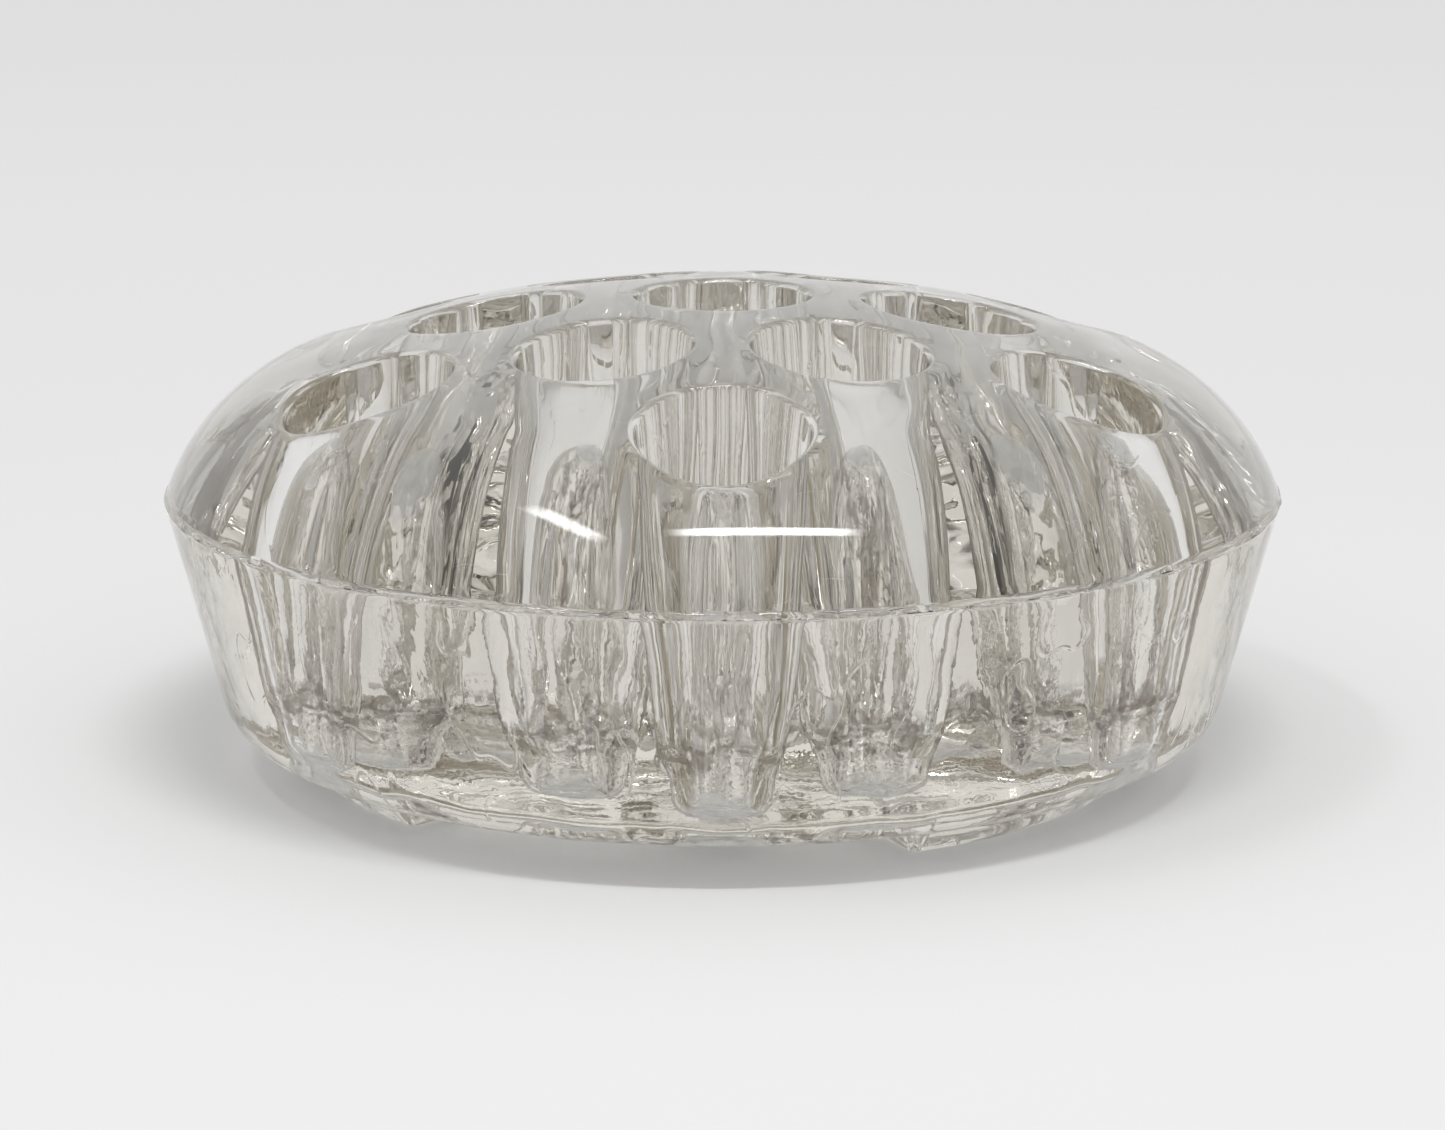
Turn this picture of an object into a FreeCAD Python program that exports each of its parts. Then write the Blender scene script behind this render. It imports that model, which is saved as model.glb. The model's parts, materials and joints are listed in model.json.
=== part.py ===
import FreeCAD, Part
import math
import os
import Sketcher

# Flower frog: one pressed block of clear glass with thirteen drafted, blind stem holes on a
# triangular grid, a thin mould seam round its widest part and three low feet.
# Frame: +Z up, origin on the table under the middle of the block, -Y is the front.

# Driving dimensions in millimetres and degrees: cell alias, value, meaning.
DIMENSIONS = (
    ("crown_height", 42.7, "table to the top of the crown before the holes are sunk"),
    ("crown_arc", 126.4, "radius of the shallow crown"),
    ("shoulder_arc", 19.4, "radius of the shoulder between crown and seam"),
    ("seam_height", 24.7, "table to the mould seam"),
    ("seam_radius", 50.6, "radius of the glass at the mould seam"),
    ("ridge_radius", 0.2, "half thickness of the ridge along the mould seam"),
    ("base_height", 3.2, "table to the flat underside"),
    ("base_radius", 45.0, "drafted side wall extended to the underside"),
    ("base_round", 4.5, "rounding between side wall and underside"),
    ("foot_inner_radius", 31.5, "inner edge of a foot on the table"),
    ("foot_outer_radius", 38.0, "outer edge of a foot on the table"),
    ("foot_inner_lean", 2.0, "how far a foot's inner side leans in at its root"),
    ("foot_outer_lean", 4.8, "how far its outer side leans out at its root"),
    ("foot_root", 1.0, "depth that a foot reaches into the block"),
    ("foot_arc", 48.0, "part of the ring that one foot covers"),
    ("foot_start", -64.0, "turn of the first foot's end from +X"),
    ("foot_count", 3, "feet round the block"),
    ("foot_round", 1.4, "rounding of a foot's edges on the table"),
    ("hole_pitch", 20.6, "distance between neighbouring stem holes"),
    ("ring_count", 6, "stem holes in each ring"),
    ("outer_turn", 30.0, "turn of the outer ring against the inner ring"),
    ("mouth_radius", 8.05, "stem hole radius just above the crown"),
    ("mouth_clearance", 1.0, "height above the crown where that radius holds"),
    ("waist_radius", 4.8, "stem hole radius where its long drafted wall ends"),
    ("waist_height", 11.7, "table to the waist"),
    ("neck_radius", 4.1, "stem hole radius below the waist"),
    ("neck_height", 9.6, "table to the neck"),
    ("floor_radius", 3.7, "radius of a stem hole's flat floor before rounding"),
    ("floor_height", 6.0, "table to that floor"),
    ("floor_round", 1.5, "rounding round each stem hole's floor"),
    ("rim_round", 0.6, "rounding of each stem hole's mouth"),
)
VALUE = {alias: value for alias, value, meaning in DIMENSIONS}
SHEET = "Dimensions"

NODE = "glass_block"

# A sketch's own references: its origin point, its y axis, and the points of a line or arc.
ORIGIN_POINT = (-1, 1)
HEIGHT_AXIS = -2
START = 1
END = 2
CENTRE = 3

FULL_TURN = 360
TOLERANCE = 0.01


def cell(alias):
    return f"{SHEET}.{alias}"


def make_sheet(doc):
    """The spreadsheet that drives every size: meaning in column A, value in column B."""
    sheet = doc.addObject("Spreadsheet::Sheet", SHEET)
    for row, (alias, value, meaning) in enumerate(DIMENSIONS, start=1):
        sheet.set(f"A{row}", meaning)
        sheet.set(f"B{row}", str(value))
        sheet.setAlias(f"B{row}", alias)
    doc.recompute()


def shoulder_centre():
    """Radius and height of the shoulder arc's centre.

    The shoulder arc passes through the seam and touches the crown arc from inside.
    """
    crown_centre = VALUE["crown_height"] - VALUE["crown_arc"]
    reach = VALUE["crown_arc"] - VALUE["shoulder_arc"]
    across = VALUE["seam_radius"]
    up = VALUE["seam_height"] - crown_centre
    span = math.hypot(across, up)
    along = (reach**2 - VALUE["shoulder_arc"] ** 2 + span**2) / (2 * span)
    aside = math.sqrt(reach**2 - along**2)
    radius = (along * across - aside * up) / span
    height = (along * up + aside * across) / span
    return radius, crown_centre + height


def hole_radius(height):
    """Radius of a stem hole's long drafted wall at a height above the table."""
    mouth_height = VALUE["crown_height"] + VALUE["mouth_clearance"]
    share = (height - VALUE["waist_height"]) / (mouth_height - VALUE["waist_height"])
    return VALUE["waist_radius"] + share * (VALUE["mouth_radius"] - VALUE["waist_radius"])


def outer_reach():
    """Distance of the outer stem holes from the middle, on a triangular grid."""
    return VALUE["hole_pitch"] * math.sqrt(3)


def hole_axes():
    """Where the stem holes stand: one in the middle, then the inner and the outer ring."""
    axes = [(0.0, 0.0)]
    for reach, swing in ((VALUE["hole_pitch"], 0), (outer_reach(), VALUE["outer_turn"])):
        for step in range(VALUE["ring_count"]):
            angle = math.radians(swing + step * FULL_TURN / VALUE["ring_count"])
            axes.append((reach * math.cos(angle), reach * math.sin(angle)))
    return axes


def origin_feature(body, role):
    return next(item for item in body.Origin.OriginFeatures if item.Role == role)


def finish_feature(body, feature):
    """Make this feature the body's latest shape."""
    body.Tip = feature
    body.Document.recompute()


def side_sketch(body, name):
    """An empty sketch on the body's XZ plane: its x is the radius and its y the height."""
    sketch = body.newObject("Sketcher::SketchObject", name)
    sketch.AttachmentSupport = [(origin_feature(body, "XZ_Plane"), "")]
    sketch.MapMode = "FlatFace"
    return sketch


def swing_sketch(sketch, expression):
    """Swing a side sketch about the block's axis, which is the sketch's y direction."""
    axis = FreeCAD.Vector(0, 1, 0)
    sketch.AttachmentOffset = FreeCAD.Placement(FreeCAD.Vector(), FreeCAD.Rotation(axis, 1))
    sketch.setExpression("AttachmentOffset.Rotation.Angle", expression)


def bind(sketch, kind, where, name, expression, value):
    """Add a named dimension to a sketch and bind it to the sheet."""
    index = sketch.addConstraint(Sketcher.Constraint(kind, *where, value))
    sketch.renameConstraint(index, name)
    sketch.setExpression(f"Constraints.{name}", expression)


def fix_point(sketch, vertex, name, radius, height, spot):
    """Fix a sketch point by a radius and a height, both bound to the sheet."""
    bind(sketch, "DistanceX", ORIGIN_POINT + vertex, name + "_radius", radius, spot.x)
    bind(sketch, "DistanceY", ORIGIN_POINT + vertex, name + "_height", height, spot.y)


def add_arc(sketch, centre, radius, low, high):
    circle = Part.Circle(centre, FreeCAD.Vector(0, 0, 1), radius)
    return sketch.addGeometry(Part.ArcOfCircle(circle, low, high))


def block_outline(body):
    """Half section of the plain block: underside, drafted wall, shoulder, crown and axis."""
    sketch = side_sketch(body, "BlockOutline")
    middle = FreeCAD.Vector(0, VALUE["base_height"])
    base = FreeCAD.Vector(VALUE["base_radius"], VALUE["base_height"])
    seam = FreeCAD.Vector(VALUE["seam_radius"], VALUE["seam_height"])
    top = FreeCAD.Vector(0, VALUE["crown_height"])
    bend = FreeCAD.Vector(*shoulder_centre())
    dome = FreeCAD.Vector(0, VALUE["crown_height"] - VALUE["crown_arc"])
    seam_angle = math.atan2(seam.y - bend.y, seam.x - bend.x)
    join_angle = math.atan2(bend.y - dome.y, bend.x)
    underside = sketch.addGeometry(Part.LineSegment(middle, base))
    wall = sketch.addGeometry(Part.LineSegment(base, seam))
    shoulder = add_arc(sketch, bend, VALUE["shoulder_arc"], seam_angle, join_angle)
    crown = add_arc(sketch, dome, VALUE["crown_arc"], join_angle, math.pi / 2)
    axis = sketch.addGeometry(Part.LineSegment(top, middle))
    sketch.addConstraint([
        Sketcher.Constraint("Coincident", underside, END, wall, START),
        Sketcher.Constraint("Coincident", wall, END, shoulder, START),
        Sketcher.Constraint("Tangent", shoulder, END, crown, START),
        Sketcher.Constraint("Coincident", crown, END, axis, START),
        Sketcher.Constraint("Coincident", axis, END, underside, START),
        Sketcher.Constraint("Horizontal", underside),
        Sketcher.Constraint("PointOnObject", underside, START, HEIGHT_AXIS),
        Sketcher.Constraint("PointOnObject", crown, END, HEIGHT_AXIS),
        Sketcher.Constraint("PointOnObject", crown, CENTRE, HEIGHT_AXIS),
    ])
    fix_point(sketch, (underside, END), "base", cell("base_radius"), cell("base_height"), base)
    fix_point(sketch, (wall, END), "seam", cell("seam_radius"), cell("seam_height"), seam)
    bind(sketch, "DistanceY", ORIGIN_POINT + (crown, END), "top", cell("crown_height"), top.y)
    bind(sketch, "Radius", (shoulder,), "bend", cell("shoulder_arc"), VALUE["shoulder_arc"])
    bind(sketch, "Radius", (crown,), "dome", cell("crown_arc"), VALUE["crown_arc"])
    return sketch


def polygon_sketch(body, name, corners):
    """A closed outline of straight lines, from corners of (name, radius, height, spot)."""
    sketch = side_sketch(body, name)
    spots = [spot for corner, radius, height, spot in corners]
    lines = []
    for start, end in zip(spots, spots[1:] + spots[:1]):
        lines.append(sketch.addGeometry(Part.LineSegment(start, end)))
    for line, following in zip(lines, lines[1:] + lines[:1]):
        sketch.addConstraint(Sketcher.Constraint("Coincident", line, END, following, START))
    for line, (corner, radius, height, spot) in zip(lines, corners):
        fix_point(sketch, (line, START), corner, radius, height, spot)
    return sketch


def foot_outline(body):
    """Section of a foot: a low bar whose sides lean out towards its root in the block."""
    inner = VALUE["foot_inner_radius"]
    outer = VALUE["foot_outer_radius"]
    inner_lean = VALUE["foot_inner_lean"]
    outer_lean = VALUE["foot_outer_lean"]
    root = VALUE["base_height"] + VALUE["foot_root"]
    table = "0"
    root_height = f"{cell('base_height')} + {cell('foot_root')}"
    inner_root = f"{cell('foot_inner_radius')} - {cell('foot_inner_lean')}"
    outer_root = f"{cell('foot_outer_radius')} + {cell('foot_outer_lean')}"
    return polygon_sketch(body, "FootOutline", (
        ("inner_tip", cell("foot_inner_radius"), table, FreeCAD.Vector(inner, 0)),
        ("outer_tip", cell("foot_outer_radius"), table, FreeCAD.Vector(outer, 0)),
        ("outer_root", outer_root, root_height, FreeCAD.Vector(outer + outer_lean, root)),
        ("inner_root", inner_root, root_height, FreeCAD.Vector(inner - inner_lean, root)),
    ))


def hole_outline(body, name, reach, reach_value):
    """Half section of a stem hole whose own axis stands at radius reach.

    From the bottom up: flat floor, narrow tip, short cone at the waist, long drafted wall.
    The last line of the outline lies on the hole's axis.
    """
    mouth_height = f"{cell('crown_height')} + {cell('mouth_clearance')}"
    mouth_value = VALUE["crown_height"] + VALUE["mouth_clearance"]
    floor_value = VALUE["floor_height"]
    corners = [("foot", reach, cell("floor_height"), FreeCAD.Vector(reach_value, floor_value))]
    for level, height, height_value in (
        ("floor", cell("floor_height"), floor_value),
        ("neck", cell("neck_height"), VALUE["neck_height"]),
        ("waist", cell("waist_height"), VALUE["waist_height"]),
        ("mouth", mouth_height, mouth_value),
    ):
        alias = level + "_radius"
        spot = FreeCAD.Vector(reach_value + VALUE[alias], height_value)
        corners.append((level, f"{reach} + {cell(alias)}", height, spot))
    corners.append(("head", reach, mouth_height, FreeCAD.Vector(reach_value, mouth_value)))
    return polygon_sketch(body, name, corners)


def add_ring(body, feature, name, count):
    """Repeat a feature evenly about the block's axis."""
    ring = body.newObject("PartDesign::PolarPattern", name)
    ring.Originals = [feature]
    ring.Axis = (origin_feature(body, "Z_Axis"), [""])
    ring.Angle = FULL_TURN
    ring.setExpression("Occurrences", cell(count))
    finish_feature(body, ring)


def add_block(body):
    block = body.newObject("PartDesign::Revolution", "Block")
    block.Profile = block_outline(body)
    block.ReferenceAxis = (origin_feature(body, "Z_Axis"), [""])
    block.Angle = FULL_TURN
    finish_feature(body, block)


def add_seam(body):
    """The ridge that the mould leaves where its upper and lower half meet."""
    ridge = body.newObject("PartDesign::AdditiveTorus", "SeamRidge")
    ridge.AttachmentSupport = [(origin_feature(body, "XY_Plane"), "")]
    ridge.MapMode = "FlatFace"
    ridge.setExpression("AttachmentOffset.Base.z", cell("seam_height"))
    ridge.setExpression("Radius1", cell("seam_radius"))
    ridge.setExpression("Radius2", cell("ridge_radius"))
    finish_feature(body, ridge)


def add_feet(body):
    outline = foot_outline(body)
    swing_sketch(outline, cell("foot_start"))
    foot = body.newObject("PartDesign::Revolution", "Foot")
    foot.Profile = outline
    foot.ReferenceAxis = (origin_feature(body, "Z_Axis"), [""])
    foot.setExpression("Angle", cell("foot_arc"))
    finish_feature(body, foot)
    add_ring(body, foot, "Feet", "foot_count")


def sink_hole(body, name, reach="0", reach_value=0.0, swing="0"):
    """Sink one stem hole, and stop if it takes no glass away."""
    before = body.Shape.Volume
    outline = hole_outline(body, name + "Outline", reach, reach_value)
    swing_sketch(outline, swing)
    hole = body.newObject("PartDesign::Groove", name)
    hole.Profile = outline
    hole.ReferenceAxis = (outline, [f"Edge{outline.GeometryCount}"])
    hole.Angle = FULL_TURN
    finish_feature(body, hole)
    if body.Shape.Volume > before - 1:
        raise RuntimeError(f"{name} cuts nothing")
    return hole


def add_holes(body):
    """The thirteen stem holes: the middle one, the inner ring and the outer ring."""
    sink_hole(body, "MiddleHole")
    inner = sink_hole(body, "InnerHole", cell("hole_pitch"), VALUE["hole_pitch"])
    add_ring(body, inner, "InnerRing", "ring_count")
    outer = sink_hole(
        body, "OuterHole", f"{cell('hole_pitch')} * sqrt(3)", outer_reach(), cell("outer_turn"))
    add_ring(body, outer, "OuterRing", "ring_count")


def is_foot_edge(edge):
    """Any edge of a foot's face on the table."""
    return edge.BoundBox.ZMax < TOLERANCE


def is_base_edge(edge):
    """The circle where the side wall meets the underside."""
    box = edge.BoundBox
    low = box.ZMax < VALUE["base_height"] + TOLERANCE
    return low and abs(box.XMax - VALUE["base_radius"]) < TOLERANCE


def is_floor_edge(edge):
    """The circle where a stem hole's floor meets its wall."""
    box = edge.BoundBox
    flat = box.ZLength < TOLERANCE and box.XLength > TOLERANCE
    return flat and abs(box.ZMax - VALUE["floor_height"]) < TOLERANCE


def is_rim_edge(edge):
    """An edge of a stem hole's mouth: above the seam, and on a hole's drafted wall."""
    if edge.BoundBox.ZMin < VALUE["seam_height"] + VALUE["ridge_radius"] + TOLERANCE:
        return False
    spot = edge.valueAt((edge.FirstParameter + edge.LastParameter) / 2)
    wall = hole_radius(spot.z)
    return any(
        abs(math.hypot(spot.x - x, spot.y - y) - wall) < TOLERANCE for x, y in hole_axes())


def round_edges(body, name, alias, wanted):
    """Round every edge of the body for which wanted(edge) is true."""
    base = body.Tip
    edges = enumerate(base.Shape.Edges, start=1)
    fillet = body.newObject("PartDesign::Fillet", name)
    fillet.Base = (base, [f"Edge{index}" for index, edge in edges if wanted(edge)])
    fillet.setExpression("Radius", cell(alias))
    finish_feature(body, fillet)


def make_glass_block(doc):
    body = doc.addObject("PartDesign::Body", "GlassBlock")
    body.Label = NODE
    add_block(body)
    add_seam(body)
    round_edges(body, "BaseRound", "base_round", is_base_edge)
    add_feet(body)
    add_holes(body)
    round_edges(body, "FootRound", "foot_round", is_foot_edge)
    round_edges(body, "FloorRound", "floor_round", is_floor_edge)
    round_edges(body, "RimRound", "rim_round", is_rim_edge)
    return body


def check(doc, bodies):
    """Stop if any object failed to compute, or a sub-part isn't one valid solid."""
    for item in doc.Objects:
        if "Invalid" in item.State or "Error" in item.State:
            raise RuntimeError(f"{item.Name} failed: {item.State}")
    for body in bodies:
        shape = body.Shape
        if shape.isNull() or not shape.isValid() or len(shape.Solids) != 1:
            raise RuntimeError(f"{body.Label} is not one valid solid")


def main():
    doc = FreeCAD.newDocument("FlowerFrog")
    make_sheet(doc)
    bodies = [make_glass_block(doc)]
    check(doc, bodies)
    os.makedirs("parts", exist_ok=True)
    for body in bodies:
        body.Shape.exportStep(f"parts/{body.Label}.step")
        print(body.Label, round(body.Shape.Volume), "cubic mm")


main()
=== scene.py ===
import json
import math

import bmesh
import bpy
import numpy as np
from mathutils import Matrix, Vector
from mathutils.geometry import delaunay_2d_cdt


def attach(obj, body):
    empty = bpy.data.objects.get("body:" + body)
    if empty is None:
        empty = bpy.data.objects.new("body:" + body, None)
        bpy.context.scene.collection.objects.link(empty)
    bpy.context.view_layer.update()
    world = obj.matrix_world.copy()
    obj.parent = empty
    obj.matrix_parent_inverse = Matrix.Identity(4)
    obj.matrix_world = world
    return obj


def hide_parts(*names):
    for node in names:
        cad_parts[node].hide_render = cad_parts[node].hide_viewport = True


# A pressed-glass flower frog on a pale table. The CAD block is replaced by one closed mesh of
# the same size and shape, with the waves, streaks and mould seam that pressed glass has.

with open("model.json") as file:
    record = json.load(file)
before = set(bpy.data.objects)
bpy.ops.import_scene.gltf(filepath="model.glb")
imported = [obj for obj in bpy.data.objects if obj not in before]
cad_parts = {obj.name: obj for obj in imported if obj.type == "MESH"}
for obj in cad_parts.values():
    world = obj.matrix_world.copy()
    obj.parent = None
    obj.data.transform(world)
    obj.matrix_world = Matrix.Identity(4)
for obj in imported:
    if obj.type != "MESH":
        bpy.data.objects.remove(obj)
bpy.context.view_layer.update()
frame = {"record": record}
NODE = "glass_block"
MM = 0.001

# Sizes of the block in millimetres, as in the CAD part.
CROWN_HEIGHT = 42.7
CROWN_ARC = 126.4
SHOULDER_ARC = 19.4
SEAM_HEIGHT = 24.7
SEAM_RADIUS = 50.6
BASE_HEIGHT = 3.2
BASE_RADIUS = 45.0
BASE_ROUND = 4.5
MOUTH_HEIGHT = 43.7
MOUTH_RADIUS = 8.05
WAIST_HEIGHT = 11.7
WAIST_RADIUS = 4.8
NECK_HEIGHT = 9.6
NECK_RADIUS = 4.1
FLOOR_HEIGHT = 6.0
FLOOR_RADIUS = 3.7
FLOOR_ROUND = 1.5
RIM_ROUND = 0.6
DRAFT = math.atan((MOUTH_RADIUS - WAIST_RADIUS) / (MOUTH_HEIGHT - WAIST_HEIGHT))
CROWN_CENTRE = CROWN_HEIGHT - CROWN_ARC
WALL_LEAN = (SEAM_RADIUS - BASE_RADIUS) / (SEAM_HEIGHT - BASE_HEIGHT)

# The worn ridge along the mould seam. It is sunk into the glass, and the wall starts at its
# foot: both as shares of the ridge's radius.
RIDGE_RADIUS = 0.12
RIDGE_SINK = 0.5
RIDGE_FOOT = 0.9
RIDGE_TURNS = [math.radians(angle) for angle in (60, 30, 0, -30, -60)]

# Softer than in the CAD part: the waist of a hole, and the feet, whose sides slope gently into
# the underside and whose flat faces lie a hair above the table.
WAIST_ROUND = 0.8
FOOT_INNER = 32.4
FOOT_OUTER = 37.2
FOOT_INNER_LEAN = 2.6
FOOT_OUTER_LEAN = 4.6
FOOT_END_LEAN = 3.4
FOOT_TOP = 2.5
FOOT_GAP = 0.04
FOOT_ARC = math.radians(48)
FOOT_MIDDLES = [math.radians(angle) for angle in (-40, 80, 200)]

# The stem holes stand where the record's stem-hole mounts say.
HOLES = [
    (mount["pos_m"][0] / MM, mount["pos_m"][1] / MM)
    for mount in frame["record"]["mounts"]
    if mount["name"].startswith("stem_hole")
]

# Waves that pressing and chilling leave in the outside: lengths along x, y and z, and heights.
CROWN_WAVE_LENGTHS = (11, 11, 11)
CROWN_WAVE = 0.035
WALL_WAVE_LENGTHS = (8, 8, 14)
WALL_WAVE = 0.025
CHILL_LENGTHS = (2.4, 2.4, 3.6)
WALL_CHILL = 0.012
BASE_CHILL = 0.08
SEAM_WAVE_LENGTHS = (5, 5, 5)
SEAM_WAVE = 0.5 * RIDGE_RADIUS
SEAM_BIAS = 0.4
UNDER_LENGTHS = (6, 6, 6)
UNDER_WAVE = 0.12
CORNER_LENGTHS = (5, 5, 4)
CORNER_WAVE = 0.03

# The same for the stem holes, on top of each other. Lumps grow towards the holes' floors.
STREAK_LENGTHS = (5.5, 5.5, 60)
STREAK = 0.06
LINE_LENGTHS = (2.6, 2.6, 30)
LINE = 0.006
BEND_LENGTHS = (8, 8, 11)
BEND = 0.09
LUMP_LENGTHS = (3.0, 3.0, 3.4)
LUMP = 0.10
DEEP_HEIGHT = 22.0

# Where the waves fade out: along the crown's edge, under the seam, at the outer edge of the
# underside, over the rounded lower corner and round the feet.
CROWN_CALM = 6.0
SEAM_CALM = 1.5
CHILL_RADIUS = 41.5
CHILL_CALM = 3.0
CORNER_HEIGHT = 9.0
CORNER_CALM = 4.0
CORNER_RADIUS = 40.0
CALM_STEEPNESS = 4
CALM_SPREAD = 1.8

# Seeds of the random waves. A stem hole takes its own ten from HOLE_SEED on.
CROWN_SEED = 11
WALL_SEED = 21
CHILL_SEED = 22
SEAM_SEED = 23
UNDER_SEED = 24
CORNER_SEED = 25
HOLE_SEED = 100
SEEDS_PER_HOLE = 10

# Mesh fineness: counts of steps, and lengths in millimetres. RIM_ROUNDS is how many times the
# place of a rim's rounding is improved.
HOLE_STEPS = 112
RIM_STEPS = 6
RIM_ROUNDS = 12
WALL_STEPS = 14
TIP_STEPS = 4
TIP_LENGTH = 1.5
TIP_RING = 0.4
RING_STEPS = 440
BAND_RADIUS = 45.3
BAND_STEPS = 12
SIDE_ROWS = 23
SIDE_OFFSET = 0.3
CORNER_STEPS = 10
CORNER_RISE = 8
CORNER_RUN = 4
CROWN_SPACING = 0.85
UNDER_RADIUS = 29.7
UNDER_SPACING = 0.7


# ---------------------------------------------------------------- shape of the plain block

def shoulder_centre():
    """Radius and height of the centre of the shoulder arc, which touches the crown arc."""
    reach = CROWN_ARC - SHOULDER_ARC
    up = SEAM_HEIGHT - CROWN_CENTRE
    span = math.hypot(SEAM_RADIUS, up)
    along = (reach**2 - SHOULDER_ARC**2 + span**2) / (2 * span)
    aside = math.sqrt(reach**2 - along**2)
    radius = (along * SEAM_RADIUS - aside * up) / span
    return radius, CROWN_CENTRE + (along * up + aside * SEAM_RADIUS) / span


SHOULDER_RADIUS, SHOULDER_HEIGHT = shoulder_centre()
JOIN_RADIUS = SHOULDER_RADIUS * CROWN_ARC / (CROWN_ARC - SHOULDER_ARC)


def crown_height(x, y):
    """Height of the crown and shoulder above the table, with the faint waves of pressed glass."""
    radius = np.hypot(x, y)
    crown = CROWN_CENTRE + np.sqrt(CROWN_ARC**2 - radius**2)
    inside = np.clip(SHOULDER_ARC**2 - (radius - SHOULDER_RADIUS) ** 2, 0, None)
    plain = np.where(radius < JOIN_RADIUS, crown, SHOULDER_HEIGHT + np.sqrt(inside))
    flat = np.stack([x, y, np.zeros_like(x)], axis=-1).reshape(-1, 3)
    waves = ripple(flat, CROWN_WAVE_LENGTHS, CROWN_SEED).reshape(np.shape(x))
    calm = np.clip((BAND_RADIUS - radius) / CROWN_CALM, 0, 1)
    return plain + CROWN_WAVE * waves * calm


def crown_slope(radius):
    """Slope of the crown and shoulder along the radius, which is negative."""
    crown = -radius / np.sqrt(CROWN_ARC**2 - radius**2)
    out = radius - SHOULDER_RADIUS
    shoulder = -out / np.sqrt(np.clip(SHOULDER_ARC**2 - out**2, 1e-6, None))
    return np.where(radius < JOIN_RADIUS, crown, shoulder)


def ripple(points, lengths, seed, count=24):
    """Smooth waves between about -1 and 1: a sum of plane waves with random directions.

    lengths gives the typical wavelength along x, y and z, in the units of the points.
    """
    random = np.random.default_rng(seed)
    total = np.zeros(len(points))
    for _ in range(count):
        direction = random.normal(size=3)
        direction /= np.linalg.norm(direction)
        wave = 2 * math.pi * direction / np.array(lengths) * random.uniform(0.6, 1.4)
        total += np.sin(points @ wave + random.uniform(0, 2 * math.pi))
    return total / math.sqrt(count)


class Patchwork:
    """Collects the patches of one mesh; patches share the points on their common edges."""

    def __init__(self):
        self.points = []
        self.faces = []
        self.marks = []
        self.count = 0

    def add(self, points, faces, marks):
        """Add a patch; marks tells each point's kind of surface, as shares of wall and hole."""
        base = self.count
        self.points.append(points)
        self.marks.append(np.broadcast_to(marks, (len(points), 2)))
        self.faces.extend([tuple(base + i for i in face) for face in faces])
        self.count += len(points)

    def add_loops(self, loops, marks, close_with=None):
        """A skin over closed loops, each an array of points; the last may close on one point."""
        steps = len(loops[0])
        faces = []
        for row in range(len(loops) - 1):
            for step in range(steps):
                after = (step + 1) % steps
                faces.append((row * steps + step, row * steps + after,
                              (row + 1) * steps + after, (row + 1) * steps + step))
        points = np.concatenate(loops)
        marks = np.repeat(marks, steps, axis=0)
        if close_with is not None:
            tip = len(points)
            last = (len(loops) - 1) * steps
            faces.extend((last + step, last + (step + 1) % steps, tip) for step in range(steps))
            points = np.vstack([points, close_with])
            marks = np.vstack([marks, marks[-1]])
        self.add(points, faces, marks)

    def build(self, name):
        mesh = bpy.data.meshes.new(name)
        points = np.concatenate(self.points) * MM
        mesh.from_pydata(points.tolist(), [], self.faces)
        marks = np.concatenate(self.marks)
        for column, kind in enumerate(("wall_share", "hole_share")):
            layer = mesh.attributes.new(kind, "FLOAT", "POINT")
            layer.data.foreach_set("value", marks[:, column].astype(np.float32))
        work = bmesh.new()
        work.from_mesh(mesh)
        bmesh.ops.remove_doubles(work, verts=work.verts, dist=1e-7)
        bmesh.ops.recalc_face_normals(work, faces=work.faces)
        open_edges = [edge for edge in work.edges if len(edge.link_faces) != 2]
        print("mesh", name, "faces", len(work.faces), "open edges", len(open_edges),
              "triangles", sum(len(face.verts) - 2 for face in work.faces))
        work.to_mesh(mesh)
        work.free()
        for polygon in mesh.polygons:
            polygon.use_smooth = True
        return mesh


# ---------------------------------------------------------------- stem holes

def wall_radius(height):
    """Radius of a stem hole's long drafted wall at a height above the table."""
    return WAIST_RADIUS + (height - WAIST_HEIGHT) * math.tan(DRAFT)


def rounded(corners, rounds, steps):
    """A polyline through corners with each inner corner rounded by an arc of its own radius."""
    line = [corners[0]]
    for before, corner, after, radius in zip(corners, corners[1:], corners[2:], rounds):
        into = np.subtract(before, corner) / np.linalg.norm(np.subtract(before, corner))
        out = np.subtract(after, corner) / np.linalg.norm(np.subtract(after, corner))
        half = math.acos(float(np.clip(into @ out, -1, 1))) / 2
        setback = radius / math.tan(half)
        middle = (into + out) / np.linalg.norm(into + out)
        centre = np.array(corner) + middle * radius / math.sin(half)
        start = np.array(corner) + into * setback - centre
        end = np.array(corner) + out * setback - centre
        for step in range(steps + 1):
            mix = start + (end - start) * step / steps
            line.append(tuple(centre + mix / np.linalg.norm(mix) * radius))
    line.append(corners[-1])
    return line


def rim_tangents(hole, angles):
    """For each angle round a hole: the rim rounding's centre (out, up) and the crown's slope."""
    out = np.full(len(angles), MOUTH_RADIUS)
    for _ in range(RIM_ROUNDS):
        x = hole[0] + out * np.cos(angles)
        y = hole[1] + out * np.sin(angles)
        radius = np.hypot(x, y)
        outward = (x * np.cos(angles) + y * np.sin(angles)) / np.maximum(radius, 1e-9)
        slope = crown_slope(radius) * outward
        up = crown_height(x, y) - RIM_ROUND * np.sqrt(1 + slope**2)
        out = wall_radius(up) + RIM_ROUND / math.cos(DRAFT)
    return out, up, slope


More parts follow.
